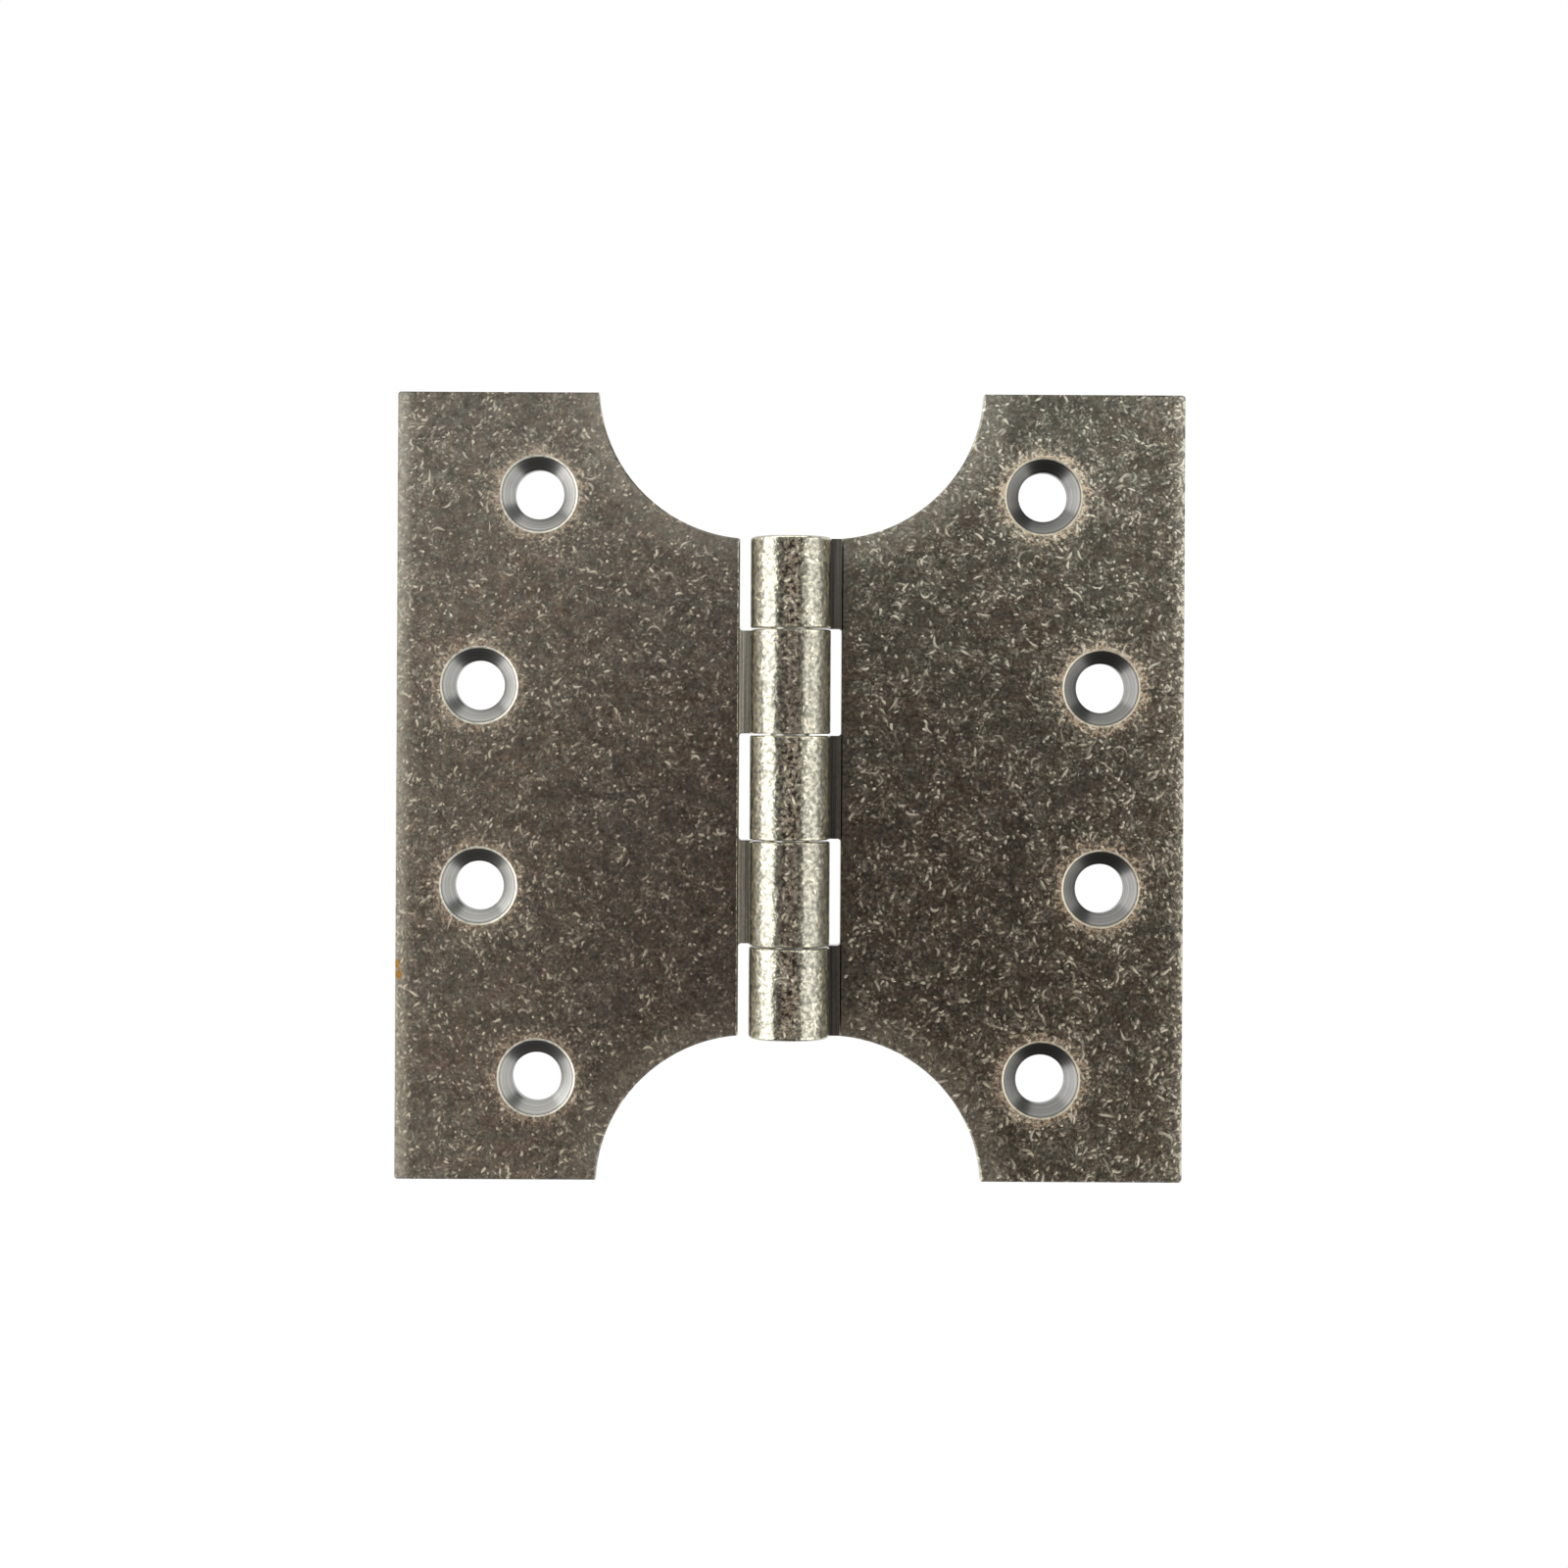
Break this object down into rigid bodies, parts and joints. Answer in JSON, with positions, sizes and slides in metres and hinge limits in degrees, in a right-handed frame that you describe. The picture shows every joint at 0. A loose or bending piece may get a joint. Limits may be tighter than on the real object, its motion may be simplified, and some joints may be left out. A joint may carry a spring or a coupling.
{
  "type": "parliament hinge",
  "caption": "Parliament hinge opened flat: two winged leaves with countersunk screw holes, joined by rolled knuckles on a hidden pin, in a tumbled antique pewter finish.",
  "frame": {"origin": "on the back plane of the open leaves, under the middle of the pin", "axes": "+Z out of the countersunk front, +Y along the pin towards the top of the hinge, +X towards the leaf that holds the pin"},
  "size_m": [0.102, 0.102, 0.0104],
  "materials": {
    "pewter_leaf": "tumbled antique pewter",
    "steel_pin": "plain drawn steel"
  },
  "bodies": {
    "right_leaf": {"right_leaf": "pewter_leaf", "pin": "steel_pin"},
    "left_leaf": {"left_leaf": "pewter_leaf"}
  },
  "joints": [
    {"name": "leaf_swing", "type": "hinge", "parent": "right_leaf", "child": "left_leaf", "pos_m": [0, 0, 0.0052], "axis": [0, 1, 0], "range_deg": [-100, 180]}
  ]
}
